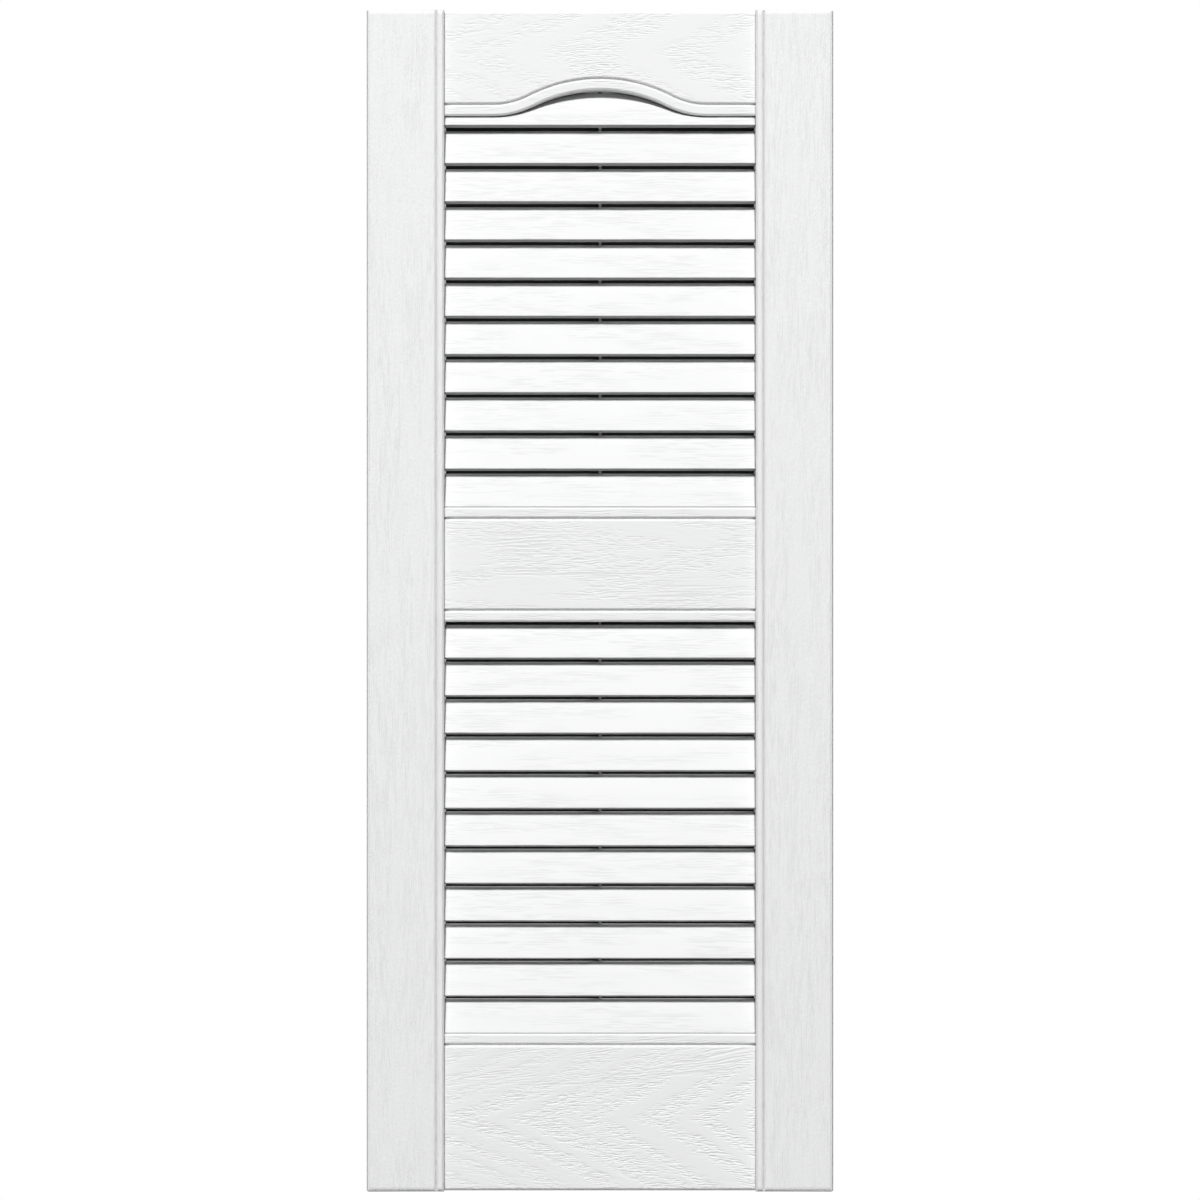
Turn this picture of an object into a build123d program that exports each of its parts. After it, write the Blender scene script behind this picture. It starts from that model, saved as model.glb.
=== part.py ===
"""Louvered window shutter, moulded in plastic, with an arched head and two banks of fixed louvres.

The shutter hangs flat on a wall. X runs across it, Y into the wall and Z up. The wall is the plane
y = 0, the front looks towards -Y, and z = 0 is the lower edge. Sizes are in millimetres.

The shutter is a shell: a frame of two stiles and three rails, all open at the back and stiffened by
ribs, which holds two banks of sloping louvres. A comb-shaped rib stands behind each bank at its middle.
"""

import os
from math import asin, atan, cos, degrees, radians, tan

from build123d import *

os.makedirs("parts", exist_ok=True)

# Overall size
width = 304.8
height = 772.0
depth = 26.0

# Frame
stile_width = 50.7
bottom_rail_height = 103.2
lower_opening_height = 268.9
middle_rail_height = 75.0
top_rail_height = 69.3
rail_recess = 4.5
wall = 2.4
edge_round = 1.6

# Arched head of the upper opening: a crown arc between two foot arcs, flat beyond them
arch_half_span = 70.0
arch_rise = 17.0
crown_radius = 95.0

# Beads, each parted from its panel by a V groove
stile_bead_width = 5.1
rail_bead_width = 7.5
bead_round = 1.0
groove_width = 1.8
groove_depth = 1.2

# Louvres: a slat that leans back from a thick lip
louvre_count = 11
louvre_run = 7.9
slot_height = 1.8
upper_head_slot = 0.9
lower_head_slot = 1.9
slat_thickness = 2.4
lip_depth = 5.0
lip_fall = 12.0
lip_round = 0.8
arch_clearance = 0.15

# Ribs in the open back
rib_thickness = 1.8
rib_setback = 2.0
spine_inset = 2.2
tooth_bite = 1.0
stile_rib_count = 7
rail_rib_spacing = 50.0

# Frame places worked out from the sizes above
half_width = width / 2
opening_half = half_width - stile_width
opening_width = 2 * opening_half
panel_depth = depth - rail_recess
opening_head = height - top_rail_height
middle_rail_bottom = bottom_rail_height + lower_opening_height
middle_rail_top = middle_rail_bottom + middle_rail_height
stile_ribs = [height * (i + 1) / (stile_rib_count + 1) for i in range(stile_rib_count)]
rail_ribs = [-rail_rib_spacing, 0.0, rail_rib_spacing]

# The arcs of the ogee meet where their tangents agree
arch_radius_sum = (arch_half_span**2 + arch_rise**2) / (2 * arch_rise)
foot_radius = arch_radius_sum - crown_radius
arch_turn = degrees(asin(arch_half_span / arch_radius_sum))
crown_top = opening_head + arch_rise

# Louvre places: the lips of each bank start on its lower rail, and the top slat ends below its head
lip_drop = lip_depth * tan(radians(lip_fall))
upper_pitch = (crown_top - upper_head_slot - middle_rail_top + slot_height + lip_drop) / louvre_count
lower_pitch = (lower_opening_height - lower_head_slot + slot_height + lip_drop) / louvre_count
upper_lips = [middle_rail_top + upper_pitch * i for i in range(louvre_count)]
lower_lips = [bottom_rail_height + lower_pitch * i for i in range(louvre_count)]
upper_rise = upper_pitch - lip_drop - slot_height
lower_rise = lower_pitch - lip_drop - slot_height
lip_rear = lip_depth - panel_depth
slat_top_front = louvre_run - panel_depth
spine_front = slat_top_front + spine_inset


def panel(left, right, bottom, top):
    """Upright rectangle in the plane of the wall."""
    with BuildSketch(Plane.XZ) as face:
        with Locations(((left + right) / 2, (bottom + top) / 2)):
            Rectangle(right - left, top - bottom)
    return face.sketch


def ogee(lift):
    """Arched line across the opening, from left to right, moved outwards by lift."""
    level = opening_head + lift
    left_flat = Line((-opening_half, level), (-arch_half_span, level))
    left_foot = JernArc(left_flat @ 1, (1, 0), foot_radius - lift, arch_turn)
    crown = JernArc(left_foot @ 1, left_foot % 1, crown_radius + lift, -2 * arch_turn)
    right_foot = JernArc(crown @ 1, crown % 1, foot_radius - lift, arch_turn)
    Line(right_foot @ 1, (opening_half, level))


def arched_panel(lift, top):
    """Face above the ogee line, moved outwards by lift, and below a level top."""
    with BuildSketch(Plane.XZ) as face:
        with BuildLine():
            ogee(lift)
            level = opening_head + lift
            Polyline((opening_half, level), (opening_half, top), (-opening_half, top), (-opening_half, level))
        make_face()
    return face.sketch


def hollow_rail(pocket):
    """Cut a pocket into the back of the rail being made, leaving upright ribs that stop short of the wall."""
    with BuildSketch(Plane.XZ) as cells:
        add(pocket)
        with Locations(*[(x, height / 2) for x in rail_ribs]):
            Rectangle(rib_thickness, height, mode=Mode.SUBTRACT)
    extrude(pocket, amount=rib_setback, mode=Mode.SUBTRACT)
    extrude(cells.sketch, amount=panel_depth - wall, mode=Mode.SUBTRACT)


def groove_section(plane):
    """V cut across a groove: the plane's x runs along the face and its y out of the face."""
    mouth = groove_width / 2
    with BuildSketch(plane) as section:
        with BuildLine():
            Polyline((0, -groove_depth), (mouth, 0), (mouth, groove_depth), (-mouth, groove_depth), (-mouth, 0),
                     close=True)
        make_face()
    return section.sketch


def groove_start(z):
    """Plane across a rail's face at the left end of the opening, looking along the rail."""
    return Plane((-opening_half, -panel_depth, z), x_dir=(0, 0, 1), z_dir=(1, 0, 0))


def level_groove(z):
    """Cut a V groove along a rail at one level."""
    extrude(groove_section(groove_start(z)), amount=opening_width, mode=Mode.SUBTRACT)


def slat_width(rise):
    """Thickness of the leaning slat, measured level."""
    return slat_thickness / cos(atan(louvre_run / rise))


def lip_height(rise):
    """Height of the lip's rear, up to the back of the slat."""
    return (lip_depth - slat_width(rise)) * rise / louvre_run


def louvre_outline(lip, rise):
    """Section of a louvre in the plane x = 0: y runs into the wall, and lip is the lip's level."""
    top = lip + rise
    with BuildSketch(Plane.YZ) as section:
        with BuildLine():
            Polyline(
                (-panel_depth, lip),
                (lip_rear, lip - lip_drop),
                (lip_rear, lip + lip_height(rise)),
                (slat_top_front + slat_width(rise), top),
                (slat_top_front, top),
                close=True,
            )
        make_face()
        fillet(section.vertices().sort_by(Axis.X)[0], lip_round)
    return section.sketch


def make_louvre(name, lip, rise, bearing=None):
    """Louvre across the opening, cut to the rail that it bears on where one is given."""
    with BuildPart() as louvre:
        extrude(louvre_outline(lip, rise), amount=opening_half, both=True)
        if bearing:
            extrude(bearing, amount=depth, mode=Mode.SUBTRACT)
    louvre.part.label = name
    export_step(louvre.part, f"parts/{name}.step")
    return louvre.part


def make_comb(name, lips, rise, head):
    """Upright rib behind a bank: a spine with a tooth up to the back of each louvre, which cuts the tooth."""
    floor = lips[0]
    with BuildPart() as comb:
        with BuildSketch(Plane.YZ):
            with Locations(((spine_front - rib_setback) / 2, (floor + head) / 2)):
                Rectangle(-rib_setback - spine_front, head - floor)
            for lip in lips:
                under = max(lip - lip_drop, floor)
                with BuildLine():
                    Polyline(
                        (lip_rear, under),
                        (lip_rear - tooth_bite, lip),
                        (lip_rear - tooth_bite, lip + lip_height(rise)),
                        (slat_top_front + tooth_bite, lip + rise),
                        (spine_front, lip + rise),
                        (spine_front, under),
                        close=True,
                    )
                make_face()
        extrude(amount=rib_thickness / 2, both=True)
        for lip in lips:
            extrude(louvre_outline(lip, rise), amount=rib_thickness, both=True, mode=Mode.SUBTRACT)
    comb.part.label = name
    export_step(comb.part, f"parts/{name}.step")
    return comb.part


# Stiles: deep channels with rounded edges and a bead beside the opening
with BuildPart() as right_stile:
    extrude(panel(opening_half, half_width, 0, height), amount=depth)
    fillet(right_stile.edges().filter_by(Axis.Y).group_by(Axis.X)[-1], edge_round)
    fillet(right_stile.faces().sort_by(Axis.Y)[0].edges(), edge_round)
    pocket = panel(opening_half + wall, half_width - wall, wall, height - wall)
    extrude(pocket, amount=depth - wall, mode=Mode.SUBTRACT)
    bead_edge = Plane((opening_half + stile_bead_width, -depth, 0), x_dir=(-1, 0, 0), z_dir=(0, 0, 1))
    extrude(groove_section(bead_edge), amount=height, mode=Mode.SUBTRACT)
right_stile.part.label = "right_stile"
export_step(right_stile.part, "parts/right_stile.step")

with BuildPart() as left_stile:
    mirror(right_stile.part, about=Plane.YZ)
left_stile.part.label = "left_stile"
export_step(left_stile.part, "parts/left_stile.step")

# Level ribs that stiffen each stile
with BuildPart() as right_stile_ribs:
    with BuildSketch(Plane.XZ.offset(rib_setback)):
        with Locations(*[(half_width - stile_width / 2, z) for z in stile_ribs]):
            Rectangle(stile_width - 2 * wall, rib_thickness)
    extrude(amount=depth - wall - rib_setback)
right_stile_ribs.part.label = "right_stile_ribs"
export_step(right_stile_ribs.part, "parts/right_stile_ribs.step")

with BuildPart() as left_stile_ribs:
    mirror(right_stile_ribs.part, about=Plane.YZ)
left_stile_ribs.part.label = "left_stile_ribs"
export_step(left_stile_ribs.part, "parts/left_stile_ribs.step")

# Top rail: its lower wall, bead and groove follow the ogee
with BuildPart() as top_rail:
    extrude(arched_panel(0, height), amount=panel_depth)
    front_edges = top_rail.faces().sort_by(Axis.Y)[0].edges().sort_by(Axis.Z)
    arch_edges = front_edges[:-1].filter_by(Axis.Z, reverse=True)
    fillet(front_edges[-1], edge_round)
    fillet(arch_edges, bead_round)
    hollow_rail(arched_panel(wall, height - wall))
    with BuildLine(Plane.XZ.offset(panel_depth)) as groove_path:
        ogee(rail_bead_width)
    sweep(groove_section(groove_start(opening_head + rail_bead_width)), path=groove_path.line, mode=Mode.SUBTRACT)
top_rail.part.label = "top_rail"
export_step(top_rail.part, "parts/top_rail.step")

# Middle rail: a bead along both edges
with BuildPart() as middle_rail:
    extrude(panel(-opening_half, opening_half, middle_rail_bottom, middle_rail_top), amount=panel_depth)
    fillet(middle_rail.faces().sort_by(Axis.Y)[0].edges().filter_by(Axis.X), bead_round)
    hollow_rail(panel(-opening_half, opening_half, middle_rail_bottom + wall, middle_rail_top - wall))
    level_groove(middle_rail_bottom + rail_bead_width)
    level_groove(middle_rail_top - rail_bead_width)
middle_rail.part.label = "middle_rail"
export_step(middle_rail.part, "parts/middle_rail.step")

# Bottom rail: a bead along its upper edge
with BuildPart() as bottom_rail:
    extrude(panel(-opening_half, opening_half, 0, bottom_rail_height), amount=panel_depth)
    long_edges = bottom_rail.faces().sort_by(Axis.Y)[0].edges().filter_by(Axis.X).sort_by(Axis.Z)
    fillet(long_edges[0], edge_round)
    fillet(long_edges[-1], bead_round)
    hollow_rail(panel(-opening_half, opening_half, wall, bottom_rail_height - wall))
    level_groove(bottom_rail_height - rail_bead_width)
bottom_rail.part.label = "bottom_rail"
export_step(bottom_rail.part, "parts/bottom_rail.step")

# Louvres, numbered from the bottom of each bank: the lowest rests on its rail
for bank, lips, rise in (("lower", lower_lips, lower_rise), ("upper", upper_lips[:-1], upper_rise)):
    rail_below = panel(-opening_half, opening_half, lips[0] - wall, lips[0])
    make_louvre(f"{bank}_louvre_01", lips[0], rise, rail_below)
    for number, lip in enumerate(lips[1:], start=2):
        make_louvre(f"{bank}_louvre_{number:02d}", lip, rise)

# The head louvre is cut to the arch, just clear of its lower wall
make_louvre("arched_head_louvre", upper_lips[-1], upper_rise, arched_panel(-arch_clearance, height))

# Comb ribs
make_comb("upper_centre_rib", upper_lips, upper_rise, crown_top - arch_clearance)
make_comb("lower_centre_rib", lower_lips, lower_rise, middle_rail_bottom)
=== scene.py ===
"""Louvered window shutter of white moulded plastic, seen straight on against white.

The CAD model is the frame: it gives the stiles, rails, beads, grooves and ribs. This script adds what the
mould gives such a shutter: plates of embossed wood grain on the panels, beads and stiles, louvres with a
soft, slightly uneven lip and the same grain along them, and a deeper rounding of the outer edge.
Surfaces are worked out in millimetres, and the meshes are written in metres.
"""

from math import atan, cos, radians, tan

import bmesh
import bpy
import numpy as np
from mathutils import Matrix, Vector


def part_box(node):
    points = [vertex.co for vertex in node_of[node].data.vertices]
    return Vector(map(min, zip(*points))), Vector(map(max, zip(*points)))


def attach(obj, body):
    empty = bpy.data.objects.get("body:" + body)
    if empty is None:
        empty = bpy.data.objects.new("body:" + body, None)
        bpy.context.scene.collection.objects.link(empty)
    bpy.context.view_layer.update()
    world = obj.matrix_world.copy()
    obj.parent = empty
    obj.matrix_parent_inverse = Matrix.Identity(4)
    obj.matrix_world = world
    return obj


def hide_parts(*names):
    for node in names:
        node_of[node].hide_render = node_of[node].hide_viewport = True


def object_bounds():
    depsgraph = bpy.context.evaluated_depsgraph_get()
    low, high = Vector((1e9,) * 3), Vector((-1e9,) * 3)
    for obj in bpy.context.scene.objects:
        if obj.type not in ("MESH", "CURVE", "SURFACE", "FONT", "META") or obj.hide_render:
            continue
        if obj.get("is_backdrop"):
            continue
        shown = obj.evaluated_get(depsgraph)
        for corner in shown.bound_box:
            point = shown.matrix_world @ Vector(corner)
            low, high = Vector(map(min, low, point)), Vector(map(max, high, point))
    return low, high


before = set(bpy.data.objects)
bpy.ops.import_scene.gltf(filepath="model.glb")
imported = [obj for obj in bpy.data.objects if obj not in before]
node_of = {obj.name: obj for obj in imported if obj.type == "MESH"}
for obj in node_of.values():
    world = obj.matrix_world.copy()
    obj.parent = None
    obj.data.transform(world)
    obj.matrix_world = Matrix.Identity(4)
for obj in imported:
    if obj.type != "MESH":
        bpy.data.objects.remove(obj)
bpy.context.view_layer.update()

MM = 0.001

# Sizes of the CAD part that the surfaces follow, in millimetres
STILE_BEAD = 5.1
RAIL_BEAD = 7.5
HALF_GROOVE = 0.9
GROOVE_DEPTH = 1.2
EDGE_ROUND = 1.6
ARCH_HALF_SPAN = 70.0
ARCH_RISE = 17.0
CROWN_RADIUS = 95.0
ARCH_CLEARANCE = 0.15
LOUVRE_RUN = 7.9
SLAT_THICKNESS = 2.4
LIP_DEPTH = 5.0
LIP_FALL = LIP_DEPTH * tan(radians(12))

# The rounding of the outer edge is EDGE_DEEPENING times deeper than wide. A corner of a stile's bead or
# groove lies on the rounding where its normal has more than ON_ROUNDING along z.
EDGE_DEEPENING = 3.2
EDGE_SLACK = 0.05
ON_ROUNDING = 0.02
MERGE_DISTANCE = 0.000002

# Embossed plates: width of the border's rise, heights over the face, depth of the border behind the face,
# distance from a bead's edge, and how far plates and louvres reach into the stiles
RIM = 0.6
PLATE_LIFT = 0.4
BOTTOM_LIFT = 0.48
PLATE_ROOT = 0.4
BEAD_MARGIN = 0.7
INTO_STILE = 0.2

# Louvres: roundings and steps of the section's corners, from the lip's front foot up and round
SECTION_ROUNDS = (0.8, 0.5, 0.3, 0.6, 0.3)
SECTION_STEPS = (40, 2, 8, 3, 4)
POINTS_PER_ROUND = 5
STATIONS = 104
LIP_WAVE = 0.09
FACE_STROKE = 0.035

# Painted shade, as shares taken off the plastic's colour: in strokes, under lips and in stile grooves
STROKE_SHADE = 0.1
UNDERSIDE_SHADE = 0.5
GROOVE_SHADE = 0.18

# Size of the noise's table of random numbers
CELLS = 96


def smooth(t):
    """3t^2 - 2t^3 with t held between 0 and 1."""
    t = np.clip(t, 0, 1)
    return t * t * (3 - 2 * t)


def noise(u, v, seed):
    """Value noise from -1 to 1: random numbers at whole (u, v), blended between them by smooth()."""
    table = np.random.default_rng(seed).uniform(-1, 1, (CELLS, CELLS))
    u, v = np.broadcast_arrays(u, v)
    iu, iv = np.floor(u).astype(int), np.floor(v).astype(int)
    fu, fv = smooth(u - iu), smooth(v - iv)
    u0, u1, v0, v1 = iu % CELLS, (iu + 1) % CELLS, iv % CELLS, (iv + 1) % CELLS
    near = table[u0, v0] * (1 - fu) + table[u1, v0] * fu
    far = table[u0, v1] * (1 - fu) + table[u1, v1] * fu
    return near * (1 - fv) + far * fv


def strokes(u, v, length, pitch, seed):
    """Short grooves along u, from 0 on the land to 1 in a groove.

    Rows of waves sin(2 pi (v / pitch + slow noise)) are broken into dashes by noise stretched along u.
    """
    bent = v / pitch + 0.55 * noise(u / (1.3 * length), v / (1.7 * pitch), seed)
    bent = bent + 0.25 * noise(u / (0.5 * length), v / pitch, seed + 1)
    wave = np.sin(2 * np.pi * bent)
    slid = u + 1.1 * length * noise(v / (0.8 * pitch), 0.5, seed + 2)
    breaks = noise(slid / (0.62 * length), v / (0.9 * pitch), seed + 3)
    return smooth((0.75 * wave + 1.1 * breaks + 0.1) / 0.9)


def cathedral(x, z, axis, fan, nose, reach, bands, seed):
    """Strokes between smooth bands that bend round an axis, as on a board cut flat from a log.

    w = (z - axis) exp(-fan x) straightens the fan; f = x - (sqrt(nose^2 + (reach w)^2) - nose) is the same
    along one band. Each band (centre, half width, depth) clears the strokes by
    depth exp(-((f - centre) / half)^4).
    """
    w = (z - axis) * np.exp(-fan * x)
    f = x - (np.sqrt(nose**2 + (reach * w) ** 2) - nose)
    f = f + 5 * noise(x / 17, w / 6, seed) + 3 * noise(x / 7, w / 2.6, seed + 1)
    clear = np.zeros_like(f)
    for centre, half, depth in bands:
        clear = np.maximum(clear, depth * np.exp(-(((f - centre) / half) ** 4)))
    return 1 - clear, w


def bottom_grain(x, z):
    """The bottom rail's figure: it opens to the right, with strong strokes near its axis."""
    bands = [(-300, 9, 0.9), (-262, 10, 1), (-226, 9, 0.8), (-190, 11, 1), (-152, 9, 0.9), (-112, 12, 0.9),
             (-66, 9, 1), (-18, 7, 0.6), (16, 12, 1), (53, 8, 1), (86, 8, 1), (112, 7, 0.9)]
    shown, w = cathedral(x, z, axis=47.5, fan=0.0033, nose=6.3, reach=2.3, bands=bands, seed=11)
    calm = 1 - 0.7 * smooth((w - 12) / 18) - 0.35 * smooth((-w - 22) / 20)
    fine = strokes(x, w, length=3.8, pitch=1.2, seed=21) * shown * (0.35 + 0.65 * calm)
    patch = smooth(0.5 + noise(x / 26, w / 3.5, 32))
    long_lines = strokes(x, w, length=14, pitch=1.7, seed=31) * (1 - calm) * 0.75 * patch
    return np.maximum(fine, long_lines)


def middle_grain(x, z):
    """The middle rail's figure: nearly level strokes with smooth patches between."""
    z = z - 0.012 * x + 1.4 * noise(x / 60, z / 25, 41)
    shown = smooth((noise(x / 30, z / 6.5, 42) + 0.5) / 0.6)
    fine = strokes(x, z, length=5.5, pitch=1.25, seed=43) * (0.12 + 0.88 * shown)
    long_lines = 0.7 * strokes(x, z, length=30, pitch=2.4, seed=47) * smooth(noise(x / 50, z / 9, 48) + 0.2)
    return np.maximum(0.8 * fine, long_lines)


def top_grain(x, z):
    """The top rail's figure: a wide, blunt cathedral with smooth ovals on its axis."""
    bands = [(-230, 12, 0.9), (-190, 12, 0.9), (-150, 12, 0.9), (-103, 12, 0.8), (-50, 14, 1), (24, 17, 1),
             (86, 12, 1)]
    shown, w = cathedral(x, z, axis=743, fan=0.0022, nose=15, reach=2.6, bands=bands, seed=51)
    return strokes(x, w, length=4.6, pitch=1.3, seed=53) * shown * (0.7 + 0.3 * noise(x / 26, w / 12, 56))


def stile_grain(seed):
    """Returns a figure of faint upright strokes, stronger in patches."""
    def figure(x, z):
        shown = smooth((noise(z / 55, x / 7, seed) + 0.6) / 0.9)
        return strokes(z, x, length=15, pitch=1.05, seed=seed + 3) * (0.35 + 0.65 * shown)
    return figure


def bead_grain(seed, slope):
    """Returns a figure of thin streaks that cross a bead at a shallow angle."""
    def figure(x, z):
        slid = z - slope * x + 0.5 * noise(x / 24, z / 9, seed)
        shown = smooth(0.55 + noise(x / 18, z / 4, seed + 8))
        return strokes(x, slid, length=11, pitch=1.15, seed=seed + 3) * shown
    return figure


def ogee(x, lift):
    """Level of the arched line, moved outwards by lift: a crown arc, two foot arcs and the flats beyond."""
    opening_head = top_low.z / MM
    crown_top = opening_head + ARCH_RISE
    radius_sum = (ARCH_HALF_SPAN**2 + ARCH_RISE**2) / (2 * ARCH_RISE)
    foot = radius_sum - CROWN_RADIUS - lift
    crown = CROWN_RADIUS + lift
    side = np.abs(x)
    from_foot = np.clip(ARCH_HALF_SPAN - side, 0, foot)
    on_crown = crown_top - CROWN_RADIUS + np.sqrt(np.maximum(crown**2 - side**2, 0))
    on_foot = opening_head + lift + foot - np.sqrt(foot**2 - from_foot**2)
    return np.where(side < crown * ARCH_HALF_SPAN / radius_sum, on_crown, on_foot)


def spaced(low, high, step):
    """Places from low to high about step apart, with closer ones at both ends."""
    count = max(int(round((high - low) / step)), 4)
    inner = np.linspace(low + RIM, high - RIM, count)
    return np.r_[low, low + 0.3 * RIM, inner, high - 0.3 * RIM, high]


def keep_shade(mesh, shade):
    """Keeps painted shade, the share by which the plastic's colour is darker at each point, as the attribute
    "shade".
    """
    kept = mesh.attributes.new("shade", "FLOAT", "POINT")
    kept.data.foreach_set("value", shade.astype(np.float32).ravel())


def link_piece(name, mesh, replaced):
    """Puts a mesh in the scene as a piece that rides on the one body."""
    piece = bpy.data.objects.new(name, mesh)
    bpy.context.scene.collection.objects.link(piece)
    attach(piece, "root")
    if replaced:
        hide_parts(*replaced)


def add_piece(name, points, grid, loops, material, shade, replaced=()):
    """One closed mesh from points in millimetres, a grid of quads and end loops."""
    mesh = bpy.data.meshes.new(name)
    faces = np.concatenate([grid.ravel(), *loops])
    totals = np.r_[np.full(len(grid), 4), [len(loop) for loop in loops]]
    mesh.vertices.add(len(points))
    mesh.vertices.foreach_set("co", (points * MM).astype(np.float32).ravel())
    mesh.loops.add(len(faces))
    mesh.loops.foreach_set("vertex_index", faces.astype(np.int32))
    mesh.polygons.add(len(totals))
    mesh.polygons.foreach_set("loop_start", np.r_[0, np.cumsum(totals)[:-1]].astype(np.int32))
    mesh.polygons.foreach_set("loop_total", totals.astype(np.int32))
    mesh.polygons.foreach_set("use_smooth", totals == 4)
    mesh.update(calc_edges=True)
    keep_shade(mesh, shade)
    mesh.materials.append(material)
    link_piece(name, mesh, replaced)


def grid_quads(rows, columns, closed):
    """Quads between neighbouring rows and columns; closed joins the last column to the first."""
    index = np.arange(rows * columns).reshape(rows, columns)
    if closed:
        index = np.hstack([index, index[:, :1]])
    corners = [index[:-1, :-1], index[:-1, 1:], index[1:, 1:], index[1:, :-1]]
    return np.stack(corners, -1).reshape(-1, 4)


def plate(name, x, z, face, grain, depth, material, lift=PLATE_LIFT):
    """A closed plate of relief on a face that looks along -Y.

    Its front is y = face - r (lift - depth g(x, z)), where g is the grain from 0 to 1 and r rises from 0
    to 1 over RIM from the border. The border lies PLATE_ROOT behind the face, and a flat polygon closes it.
    """
    border = np.minimum(np.minimum(x - x[:, :1], x[:, -1:] - x),
                        np.minimum(z - z[:1], z[-1:] - z))
    cut = grain(x, z)
    y = face - smooth(border / RIM) * (lift - depth * cut)
    y = np.where(border == 0, face + PLATE_ROOT, y)
    rows, columns = x.shape
    index = np.arange(rows * columns).reshape(rows, columns)
    loop = np.r_[index[0, :-1], index[:-1, -1], index[-1, :0:-1], index[:0:-1, 0]]
    points = np.stack([x, y, z], -1).reshape(-1, 3)
    # Painted shade in the grain's strokes: the colour is darker by STROKE_SHADE times the cut
    add_piece(name, points, grid_quads(rows, columns, False), [loop[::-1]], material,
              STROKE_SHADE * cut)


def deep_edged(name, half_width, height, face):
    """A copy of a frame node whose outer edge rounding is an ellipse, deeper than it is wide.

    Within EDGE_ROUND of the outer walls and of the face's plane, a point at depth y - face goes to
    EDGE_DEEPENING times that depth, and its normal (nx, ny, nz) turns to (nx, ny / EDGE_DEEPENING, nz).
    Where a stile's bead and groove run out on the rounding, a point keeps its depth and slides along z
    onto the ellipse: its distance from the end is R - sqrt(R^2 - (R - depth / EDGE_DEEPENING)^2), with
    R = EDGE_ROUND. Painted shade rises with the depth in the stile's groove, up to GROOVE_SHADE.
    """
    mesh = node_of[name].data.copy()
    mesh.name = name + "_moulded"
    normals = np.empty(len(mesh.loops) * 3)
    mesh.corner_normals.foreach_get("vector", normals)
    mesh.attributes.new("kept_normal", "FLOAT_VECTOR", "CORNER").data.foreach_set("vector", normals)
    joined = bmesh.new()
    joined.from_mesh(mesh)
    bmesh.ops.remove_doubles(joined, verts=joined.verts, dist=MERGE_DISTANCE)
    joined.to_mesh(mesh)
    joined.free()
    points = np.empty(len(mesh.vertices) * 3)
    mesh.vertices.foreach_get("co", points)
    points = points.reshape(-1, 3) / MM
    x, y, z = points.T
    reach = EDGE_ROUND + EDGE_SLACK
    at_wall = np.minimum(half_width - np.abs(x), np.minimum(z, height - z)) < reach
    rounded = at_wall & (y < face + reach)
    panel_start = half_opening + STILE_BEAD + HALF_GROOVE + EDGE_SLACK
    ruled = rounded & (np.abs(x) < panel_start) & ("stile" in name)
    sunk = rounded & ~ruled
    in_groove = ruled & (np.abs(x) > half_opening + STILE_BEAD - HALF_GROOVE)
    # Painted shade: darker deeper in the stile's groove
    shade = np.where(in_groove, GROOVE_SHADE * np.clip((y - face) / GROOVE_DEPTH, 0, 1), 0)
    keep_shade(mesh, shade)
    circle_depth = np.clip((y[ruled] - face) / EDGE_DEEPENING, 0, EDGE_ROUND)
    slid = EDGE_ROUND - np.sqrt(EDGE_ROUND**2 - (EDGE_ROUND - circle_depth) ** 2)
    points[ruled, 2] = np.where(z[ruled] < height / 2, slid, height - slid)
    points[sunk, 1] = face + EDGE_DEEPENING * (y[sunk] - face)
    mesh.vertices.foreach_set("co", (points * MM).astype(np.float32).ravel())
    corners = np.empty(len(mesh.loops), np.int32)
    mesh.loops.foreach_get("vertex_index", corners)
    normals = np.empty(len(corners) * 3)
    mesh.attributes["kept_normal"].data.foreach_get("vector", normals)
    mesh.attributes.remove(mesh.attributes["kept_normal"])
    normals = normals.reshape(-1, 3)
    turned = sunk[corners] | (ruled[corners] & (np.abs(normals[:, 2]) > ON_ROUNDING))
    normals[turned, 1] /= EDGE_DEEPENING
    normals /= np.linalg.norm(normals, axis=1, keepdims=True)
    mesh.update()
    mesh.normals_split_custom_set(normals)
    mesh.materials.clear()
    mesh.materials.append(stile_plastic if "stile" in name else rail_plastic)
    link_piece(name + "_moulded", mesh, [name])


def rounded_ring(corners, radii, spans):
    """Closed sections with rounded corners, one for each place along the louvre.

    corners is (corner, place, 2). Each corner C with cuts A and B at its radius becomes the curve
    (1-t)^2 A + 2t(1-t) C + t^2 B, and straight spans with the given number of steps join them.
    """
    ring = []
    t = np.linspace(0, 1, POINTS_PER_ROUND)[:, None, None]
    cuts = []
    for i, corner in enumerate(corners):
        before, after = corners[i - 1] - corner, corners[(i + 1) % len(corners)] - corner
        unit = [side / np.linalg.norm(side, axis=-1, keepdims=True) for side in (before, after)]
        cuts.append((corner + radii[i] * unit[0], corner + radii[i] * unit[1]))
    for i, corner in enumerate(corners):
        start, end = cuts[i]
        ring.append((1 - t) ** 2 * start + 2 * t * (1 - t) * corner + t**2 * end)
        s = np.linspace(0, 1, spans[i] + 1)[1:-1, None, None]
        ring.append(end + s * (cuts[(i + 1) % len(corners)][0] - end))
    return np.concatenate(ring)


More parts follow.
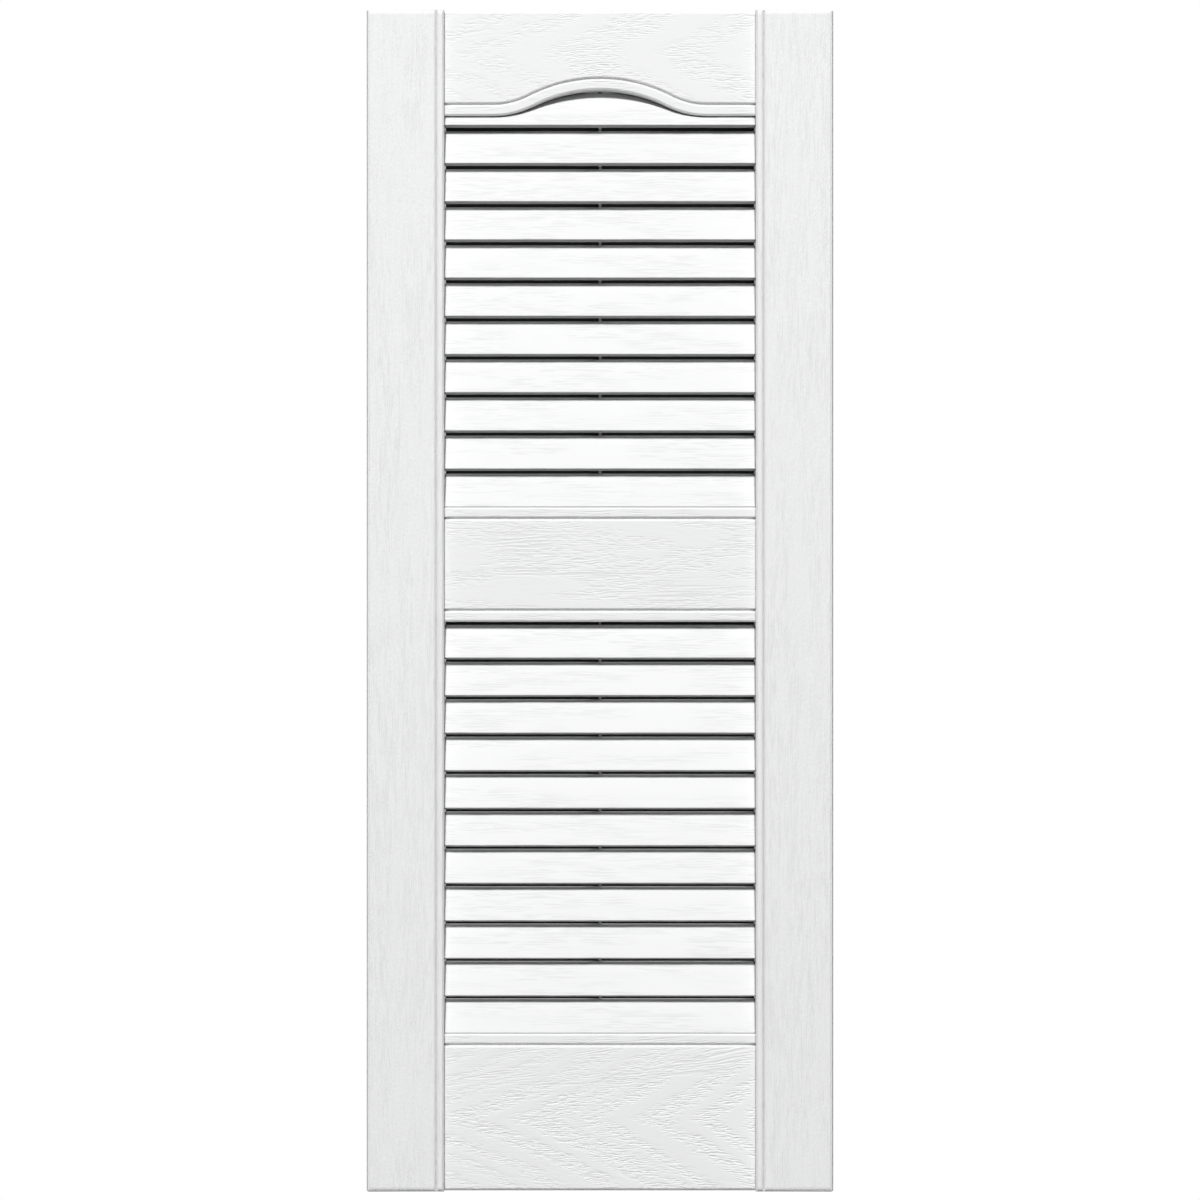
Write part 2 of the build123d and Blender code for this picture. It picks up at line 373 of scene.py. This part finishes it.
def louvre(name, lip, rise, seed, flat_foot=False, head=None):
    """A louvre: its section, from the lip up the leaning face and down the back, is carried along x.

    The lip's lower edge wanders by noise in x, and the face takes strokes along x, both moved along the
    section's outward normal. head cuts the top to a level for each x.
    """
    x = np.r_[-half_opening - INTO_STILE,
              np.linspace(-half_opening + 1, half_opening - 1, STATIONS),
              half_opening + INTO_STILE]
    height = np.full_like(x, rise) if head is None else np.minimum(rise, head(x) - lip)
    lean = atan(LOUVRE_RUN / rise)
    slat = SLAT_THICKNESS / cos(lean)
    top_front = louvre_face + height * tan(lean)
    flat = np.ones_like(x)
    fall = 0.0 if flat_foot else LIP_FALL
    back = (louvre_face + LIP_DEPTH) * flat
    lip_height = (LIP_DEPTH - slat) / tan(lean)
    corners = np.stack([
        np.stack([louvre_face * flat, lip * flat], -1),
        np.stack([top_front, lip + height], -1),
        np.stack([top_front + slat, lip + height], -1),
        np.stack([back, (lip + lip_height) * flat], -1),
        np.stack([back, (lip - fall) * flat], -1),
    ])
    ring = rounded_ring(corners, SECTION_ROUNDS, SECTION_STEPS)
    ring = np.moveaxis(ring, 0, 1)
    along = np.roll(ring, -1, axis=1) - np.roll(ring, 1, axis=1)
    normal = np.stack([-along[..., 1], along[..., 0]], -1)
    normal /= np.linalg.norm(normal, axis=-1, keepdims=True)
    place = np.broadcast_to(x[:, None], ring.shape[:2])
    level = ring[..., 1] - lip
    face_part = smooth(-normal[..., 0] * 2 - 0.6)
    lip_part = smooth(1 - np.abs(level) / 2.5) * (not flat_foot)
    under_part = smooth(-normal[..., 1] * 1.6 - 0.2) * (level < 2)
    grain = strokes(place, level * 1.18, length=16, pitch=1.9, seed=seed)
    grain = grain * smooth(0.6 + noise(place / 40, level / 6, seed + 5))
    wave = noise(place / 13, 0.5, seed + 6) + 0.6 * noise(place / 4.5, 0.5, seed + 7)
    ring = ring + normal * (LIP_WAVE * lip_part * wave - FACE_STROKE * face_part * grain)[..., None]
    points = np.concatenate([place[..., None], ring], -1).reshape(-1, 3)
    rows, columns = place.shape
    index = np.arange(rows * columns).reshape(rows, columns)
    grid = grid_quads(rows, columns, True)[:, ::-1]
    # Painted shade: darker in the face's strokes and on the lip's underside, which faces down into shade
    shade = STROKE_SHADE * grain * face_part + UNDERSIDE_SHADE * under_part
    add_piece(name + "_moulded", points, grid, [index[0], index[-1, ::-1]], louvre_plastic,
              shade, [name])


# Shader groups
def new_group(name, inputs, outputs):
    """An empty shader node group with the given sockets; returns it with its two end nodes."""
    group = bpy.data.node_groups.new(name, "ShaderNodeTree")
    for title, kind, value in inputs:
        socket = group.interface.new_socket(title, in_out="INPUT", socket_type=kind)
        socket.default_value = value
    for title, kind in outputs:
        group.interface.new_socket(title, in_out="OUTPUT", socket_type=kind)
    return group, group.nodes.new("NodeGroupInput"), group.nodes.new("NodeGroupOutput")


def maths(tree, operation, a, b=None):
    """A math node's output; a and b are sockets or numbers."""
    node = tree.nodes.new("ShaderNodeMath")
    node.operation = operation
    for socket, value in zip(node.inputs, (a, b)):
        if isinstance(value, bpy.types.NodeSocket):
            tree.links.new(value, socket)
        elif value is not None:
            socket.default_value = value
    return node.outputs[0]


def stretched_noise(tree, vector, stretch, detail, roughness):
    """Noise of a vector that is first multiplied by stretch."""
    scaled = tree.nodes.new("ShaderNodeVectorMath")
    scaled.operation = "MULTIPLY"
    tree.links.new(vector, scaled.inputs[0])
    if isinstance(stretch, bpy.types.NodeSocket):
        tree.links.new(stretch, scaled.inputs[1])
    else:
        scaled.inputs[1].default_value = stretch
    texture = tree.nodes.new("ShaderNodeTexNoise")
    texture.inputs["Scale"].default_value = 1.0
    texture.inputs["Detail"].default_value = detail
    texture.inputs["Roughness"].default_value = roughness
    tree.links.new(scaled.outputs[0], texture.inputs["Vector"])
    return texture.outputs["Fac"]


def make_grain_group():
    """Embossed grain as a height in metres: strokes along one axis, in patches, over fine pits."""
    group, given, put = new_group(
        "embossed_grain",
        [("Vector", "NodeSocketVector", (0, 0, 0)),
         ("Strokes per metre", "NodeSocketVector", LEVEL),
         ("Stroke depth", "NodeSocketFloat", 0.00004),
         ("Pit depth", "NodeSocketFloat", 0.00001),
         ("Pits per metre", "NodeSocketVector", FINE_PITS)],
        [("Height", "NodeSocketFloat")],
    )
    vector = given.outputs["Vector"]
    lines = stretched_noise(group, vector, given.outputs["Strokes per metre"], 2.0, 0.6)
    cut = maths(group, "SMOOTH_MAX", maths(group, "SUBTRACT", lines, 0.5), 0.0)
    patch = stretched_noise(group, vector, (28, 28, 60), 1.0, 0.5)
    shown = maths(group, "MULTIPLY", patch, 6.0)
    pits = stretched_noise(group, vector, given.outputs["Pits per metre"], 2.0, 0.6)
    deep = maths(group, "MULTIPLY", maths(group, "MULTIPLY", cut, shown), given.outputs["Stroke depth"])
    low = maths(group, "MULTIPLY", pits, given.outputs["Pit depth"])
    group.links.new(maths(group, "SUBTRACT", low, deep), put.inputs["Height"])
    return group


def make_tone_group():
    """Moulded plastic's slight unevenness of colour and roughness, with the shades taken off its colour."""
    group, given, put = new_group(
        "moulded_tone",
        [("Vector", "NodeSocketVector", (0, 0, 0)),
         ("Colour", "NodeSocketColor", (0.8, 0.8, 0.8, 1)),
         ("Roughness", "NodeSocketFloat", 0.55),
         ("Darker", "NodeSocketFloat", 0.0),
         ("Crevice shade", "NodeSocketFloat", 1.0)],
        [("Colour", "NodeSocketColor"), ("Roughness", "NodeSocketFloat")],
    )
    cloud = stretched_noise(group, given.outputs["Vector"], (14, 14, 9), 3.0, 0.5)
    even = maths(group, "ADD", maths(group, "MULTIPLY", cloud, 0.03), 0.985)
    shade = maths(group, "SUBTRACT", even, given.outputs["Darker"])
    toned = group.nodes.new("ShaderNodeVectorMath")
    toned.operation = "SCALE"
    group.links.new(given.outputs["Colour"], toned.inputs[0])
    shade = maths(group, "MULTIPLY", shade, given.outputs["Crevice shade"])
    group.links.new(shade, toned.inputs["Scale"])
    group.links.new(toned.outputs[0], put.inputs["Colour"])
    speck = stretched_noise(group, given.outputs["Vector"], (420, 420, 420), 2.0, 0.6)
    uneven = maths(group, "MULTIPLY", maths(group, "SUBTRACT", speck, 0.5), 0.16)
    group.links.new(maths(group, "ADD", given.outputs["Roughness"], uneven), put.inputs["Roughness"])
    return group


def make_crevice_group():
    """Shade where other surfaces stand close, from 1 in the open down to 1 - Strength deep in a crevice."""
    group, given, put = new_group(
        "crevice_shade",
        [("Reach", "NodeSocketFloat", 0.005), ("Strength", "NodeSocketFloat", 0.5)],
        [("Shade", "NodeSocketFloat")],
    )
    near = group.nodes.new("ShaderNodeAmbientOcclusion")
    near.samples = 6
    group.links.new(given.outputs["Reach"], near.inputs["Distance"])
    hidden = group.nodes.new("ShaderNodeMapRange")
    hidden.interpolation_type = "SMOOTHSTEP"
    group.links.new(near.outputs["AO"], hidden.inputs["Value"])
    for title, value in (("From Min", 0.6), ("From Max", 0.15), ("To Min", 0.0), ("To Max", 1.0)):
        hidden.inputs[title].default_value = value
    lost = maths(group, "MULTIPLY", hidden.outputs["Result"], given.outputs["Strength"])
    group.links.new(maths(group, "SUBTRACT", 1.0, lost), put.inputs["Shade"])
    return group


def plastic(name, colour, strokes_per_metre, stroke_depth, pit_depth, roughness, crevice, pits=None):
    """White moulded plastic with the embossed grain as a bump, and painted shade, of strength crevice, where
    surfaces close in.

    Depths are in metres, and pits is the number of pits per metre along each axis.
    """
    material = bpy.data.materials.new(name)
    material.use_nodes = True
    tree = material.node_tree
    shader = tree.nodes["Principled BSDF"]
    shader.inputs["Specular IOR Level"].default_value = 0.15
    place = tree.nodes.new("ShaderNodeTexCoord").outputs["Object"]
    tone = tree.nodes.new("ShaderNodeGroup")
    tone.node_tree = tone_group
    tone.inputs["Colour"].default_value = (*colour, 1)
    tone.inputs["Roughness"].default_value = roughness
    closing = tree.nodes.new("ShaderNodeGroup")
    closing.node_tree = crevice_group
    closing.inputs["Strength"].default_value = crevice
    tree.links.new(closing.outputs["Shade"], tone.inputs["Crevice shade"])
    grain = tree.nodes.new("ShaderNodeGroup")
    grain.node_tree = grain_group
    grain.inputs["Strokes per metre"].default_value = strokes_per_metre
    grain.inputs["Stroke depth"].default_value = stroke_depth
    grain.inputs["Pit depth"].default_value = pit_depth
    grain.inputs["Pits per metre"].default_value = pits or FINE_PITS
    bump = tree.nodes.new("ShaderNodeBump")
    bump.inputs["Strength"].default_value = 1.0
    bump.inputs["Distance"].default_value = 1.0
    # The attribute "shade" holds painted shade: strokes, lip undersides and stile grooves
    darker = tree.nodes.new("ShaderNodeAttribute")
    darker.attribute_name = "shade"
    tree.links.new(darker.outputs["Fac"], tone.inputs["Darker"])
    tree.links.new(place, tone.inputs["Vector"])
    tree.links.new(place, grain.inputs["Vector"])
    tree.links.new(grain.outputs["Height"], bump.inputs["Height"])
    tree.links.new(tone.outputs["Colour"], shader.inputs["Base Color"])
    tree.links.new(tone.outputs["Roughness"], shader.inputs["Roughness"])
    tree.links.new(bump.outputs["Normal"], shader.inputs["Normal"])
    return material


# Strokes and pits per metre along x, y and z
LEVEL = (200, 200, 700)
UPRIGHT = (900, 300, 170)
ALONG_LOUVRE = (60, 60, 600)
FINE_PITS = (1500, 1500, 1500)
UPRIGHT_PITS = (1300, 1300, 480)

# Colours of the plastic, linear
WHITE = (0.83, 0.832, 0.835)
# Painted shade: the louvres are the frame's plastic, darker as their faces tilt up into the key light
LOUVRE_WHITE_WITH_PAINTED_SHADE = (0.76, 0.762, 0.765)
RIB_WHITE = (0.8, 0.8, 0.8)

grain_group = make_grain_group()
tone_group = make_tone_group()
crevice_group = make_crevice_group()
# crevice: strength of the painted shade where surfaces close in
rail_plastic = plastic("rail_plastic", WHITE, LEVEL, stroke_depth=0.00012, pit_depth=0.000012,
                       roughness=0.55, crevice=0.9)
stile_plastic = plastic("stile_plastic", WHITE, UPRIGHT, stroke_depth=0.00014, pit_depth=0.00028,
                        roughness=0.55, crevice=0.2, pits=UPRIGHT_PITS)
panel_plastic = plastic("panel_plastic", WHITE, LEVEL, stroke_depth=0.00002, pit_depth=0.00002,
                        roughness=0.55, crevice=0.5)
louvre_plastic = plastic("louvre_plastic", LOUVRE_WHITE_WITH_PAINTED_SHADE, ALONG_LOUVRE, stroke_depth=0.00002,
                         pit_depth=0.00001, roughness=0.5, crevice=0.9)
rib_plastic = plastic("rib_plastic", RIB_WHITE, LEVEL, stroke_depth=0.0, pit_depth=0.00001,
                      roughness=0.6, crevice=0.9)

# Pieces
for name, node in node_of.items():
    if "ribs" in name or "centre_rib" in name:
        finish_of, slot_name = rib_plastic, "rib"
    elif "louvre" in name:
        finish_of, slot_name = louvre_plastic, "louvre"
    else:
        finish_of, slot_name = (stile_plastic if "stile" in name else rail_plastic), "frame"
    node.data.materials.clear()
    node.data.materials.append(finish_of)

top_low, top_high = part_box("top_rail")
middle_low, middle_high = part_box("middle_rail")
bottom_low, bottom_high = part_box("bottom_rail")
stile_low, stile_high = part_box("right_stile")
half_opening = top_high.x / MM
half_width = stile_high.x / MM
height = stile_high.z / MM
rail_face = top_low.y / MM
stile_face = stile_low.y / MM
louvre_face = rail_face
panel_gap = RAIL_BEAD + HALF_GROOVE
bottom_head = bottom_high.z / MM
middle_foot = middle_low.z / MM
middle_head = middle_high.z / MM

for name in ("left_stile", "right_stile"):
    deep_edged(name, half_width, height, stile_face)
for name in ("top_rail", "bottom_rail"):
    deep_edged(name, half_width, height, rail_face)

# Grain on the rails' panels
across = spaced(-half_opening - INTO_STILE, half_opening + INTO_STILE, step=0.8)
x, z = np.meshgrid(across, spaced(EDGE_ROUND, bottom_head - panel_gap, step=0.32))
plate("bottom_panel_grain", x, z, rail_face, bottom_grain, depth=0.44, material=panel_plastic,
      lift=BOTTOM_LIFT)

x, z = np.meshgrid(across, spaced(middle_foot + panel_gap, middle_head - panel_gap, step=0.36))
plate("middle_panel_grain", x, z, rail_face, middle_grain, depth=0.26, material=panel_plastic)

panel_height = 60
share = spaced(0, panel_height, step=0.4) / panel_height
x = np.broadcast_to(across, (len(share), len(across)))
foot = ogee(x, panel_gap)
z = foot + share[:, None] * (height - EDGE_ROUND - foot)
plate("top_panel_grain", x, z, rail_face, top_grain, depth=0.3, material=panel_plastic)

# Grain on the rails' beads
bead_start = HALF_GROOVE - RAIL_BEAD
for name, low, seed, slope in (
    ("middle_lower_bead_grain", middle_foot + BEAD_MARGIN, 81, 0.03),
    ("middle_upper_bead_grain", middle_head + bead_start, 84, 0.02),
    ("bottom_bead_grain", bottom_head + bead_start, 87, 0.07),
):
    x, z = np.meshgrid(across, spaced(low, low + RAIL_BEAD - HALF_GROOVE - BEAD_MARGIN, step=0.35))
    plate(name, x, z, rail_face, bead_grain(seed, slope), depth=0.2, material=panel_plastic)

bead_height = 6
share = spaced(0, bead_height, step=0.35) / bead_height
x = np.broadcast_to(across, (len(share), len(across)))
foot = ogee(x, BEAD_MARGIN)
z = foot + share[:, None] * (ogee(x, RAIL_BEAD - HALF_GROOVE) - foot)
plate("top_bead_grain", x, z, rail_face, bead_grain(90, 0.01), depth=0.16, material=panel_plastic)

# Grain on the stiles and their beads
upright = spaced(EDGE_ROUND, height - EDGE_ROUND, step=1.8)
groove_middle = half_opening + STILE_BEAD
for side, seed in (("left", 61), ("right", 71)):
    for part, inner, outer, step in (
        ("stile", groove_middle + HALF_GROOVE, half_width - EDGE_ROUND, 0.34),
        ("bead", half_opening + BEAD_MARGIN, groove_middle - HALF_GROOVE, 0.45),
    ):
        low, high = (inner, outer) if side == "right" else (-outer, -inner)
        x, z = np.meshgrid(spaced(low, high, step), upright)
        plate(f"{side}_{part}_grain", x, z, stile_face, stile_grain(seed), depth=0.1, material=stile_plastic)


def arch(x):
    """Level that the louvre under the arch is cut to."""
    return ogee(x, -ARCH_CLEARANCE)


for number, name in enumerate(sorted(n for n in node_of if "louvre" in n)):
    low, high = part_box(name)
    flat_foot = name.endswith("louvre_01")
    lip = low.z / MM + (0 if flat_foot else LIP_FALL)
    head = arch if name == "arched_head_louvre" else None
    louvre(name, lip, high.z / MM - lip, 100 + 10 * number, flat_foot, head)


# Floor, dark cards of painted shade behind the slots, world
def flat_material(name, colour):
    """Plain matt material."""
    material = bpy.data.materials.new(name)
    material.use_nodes = True
    shader = material.node_tree.nodes["Principled BSDF"]
    shader.inputs["Base Color"].default_value = (*colour, 1)
    shader.inputs["Roughness"].default_value = 0.9
    return material


def flat_sheet(name, corners, material):
    """One rectangle that belongs to the stage."""
    mesh = bpy.data.meshes.new(name)
    mesh.from_pydata(corners, [], [(0, 1, 2, 3)])
    mesh.materials.append(material)
    sheet = bpy.data.objects.new(name, mesh)
    bpy.context.scene.collection.objects.link(sheet)
    sheet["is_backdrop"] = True
    return sheet


def seen_plainly(tree):
    """1 for camera, glossy and transmission rays, which see the floor and the world as plain white."""
    path = tree.nodes.new("ShaderNodeLightPath").outputs
    return maths(tree, "MAXIMUM", path["Is Camera Ray"],
                 maths(tree, "MAXIMUM", path["Is Glossy Ray"], path["Is Transmission Ray"]))


# The floor is pale where it is seen and dark where it would throw light up at the shutter
FLOOR_LEVEL = -0.9
FLOOR_REACH = 2.5
FLOOR_PALE = 0.8
FLOOR_DARK = 0.08
FLOOR_GLOW = 0.45
floor_paint = flat_material("floor_paint", (0.8, 0.8, 0.8))
tree = floor_paint.node_tree
shader = tree.nodes["Principled BSDF"]
seen = seen_plainly(tree)
tone = maths(tree, "ADD", maths(tree, "MULTIPLY", seen, FLOOR_PALE - FLOOR_DARK), FLOOR_DARK)
paint = tree.nodes.new("ShaderNodeCombineColor")
for channel in ("Red", "Green", "Blue"):
    tree.links.new(tone, paint.inputs[channel])
tree.links.new(paint.outputs[0], shader.inputs["Base Color"])
shader.inputs["Emission Color"].default_value = (1, 1, 1, 1)
tree.links.new(maths(tree, "MULTIPLY", seen, FLOOR_GLOW), shader.inputs["Emission Strength"])
flat_sheet("floor",
           [(-FLOOR_REACH, -FLOOR_REACH, FLOOR_LEVEL), (FLOOR_REACH, -FLOOR_REACH, FLOOR_LEVEL),
            (FLOOR_REACH, FLOOR_REACH, FLOOR_LEVEL), (-FLOOR_REACH, FLOOR_REACH, FLOOR_LEVEL)],
           floor_paint)

# The cards are painted shade behind the slots: black to the camera, clear from behind and to every other ray
CARD_SETBACK = 0.0008
card = flat_material("painted_shade_card", (0.004, 0.004, 0.005))
tree = card.node_tree
clear = tree.nodes.new("ShaderNodeBsdfTransparent")
mix = tree.nodes.new("ShaderNodeMixShader")
front = maths(tree, "SUBTRACT", 1.0, tree.nodes.new("ShaderNodeNewGeometry").outputs["Backfacing"])
seen = maths(tree, "MULTIPLY", front, tree.nodes.new("ShaderNodeLightPath").outputs["Is Camera Ray"])
tree.links.new(seen, mix.inputs["Fac"])
tree.links.new(clear.outputs[0], mix.inputs[1])
tree.links.new(tree.nodes["Principled BSDF"].outputs[0], mix.inputs[2])
tree.links.new(mix.outputs[0], tree.nodes["Material Output"].inputs["Surface"])
edge = half_opening * MM
crown = top_low.z + (ARCH_RISE + 1) * MM
for name, low, high in (("lower_painted_shade_card", bottom_high.z, middle_low.z),
                        ("upper_painted_shade_card", middle_high.z, crown)):
    flat_sheet(name, [(-edge, -CARD_SETBACK, low), (edge, -CARD_SETBACK, low),
                      (edge, -CARD_SETBACK, high), (-edge, -CARD_SETBACK, high)], card)

# The world is white where it is seen and gives a faint fill
FILL = 0.05
world = bpy.data.worlds.new("studio")
world.use_nodes = True
bpy.context.scene.world = world
tree = world.node_tree
backdrop = tree.nodes["Background"]
backdrop.inputs["Color"].default_value = (1, 1, 1, 1)
strength = maths(tree, "ADD", maths(tree, "MULTIPLY", seen_plainly(tree), 1 - FILL), FILL)
tree.links.new(strength, backdrop.inputs["Strength"])


def area_light(name, place, target, size, power):
    """A square lamp at place that faces target."""
    data = bpy.data.lights.new(name, "AREA")
    data.shape = "SQUARE"
    data.size = size
    data.energy = power
    lamp = bpy.data.objects.new(name, data)
    lamp.location = place
    lamp.rotation_euler = (Vector(target) - Vector(place)).to_track_quat("-Z", "Y").to_euler()
    bpy.context.scene.collection.objects.link(lamp)


middle = (0, stile_low.y, stile_high.z / 2)
area_light("key", (-0.6, -7.7, 6.0), middle, size=1.25, power=1050)
area_light("back_fill", (1.3, 2.7, 2.9), middle, size=1.2, power=75)

# The camera looks straight on, and its picture is VIEW_HEIGHT tall at the stiles' face
CAMERA_DISTANCE = 2.05
CAMERA_LEVEL = 0.3864
VIEW_HEIGHT = 0.7824
SENSOR = 36
camera_data = bpy.data.cameras.new("camera")
camera_data.sensor_width = SENSOR
camera_data.lens = SENSOR * CAMERA_DISTANCE / VIEW_HEIGHT
camera = bpy.data.objects.new("camera", camera_data)
camera.location = (0, stile_low.y - CAMERA_DISTANCE, CAMERA_LEVEL)
camera.rotation_euler = (radians(90), 0, 0)
bpy.context.scene.collection.objects.link(camera)
bpy.context.scene.camera = camera
bpy.context.scene.view_settings.view_transform = "Standard"

low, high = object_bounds()
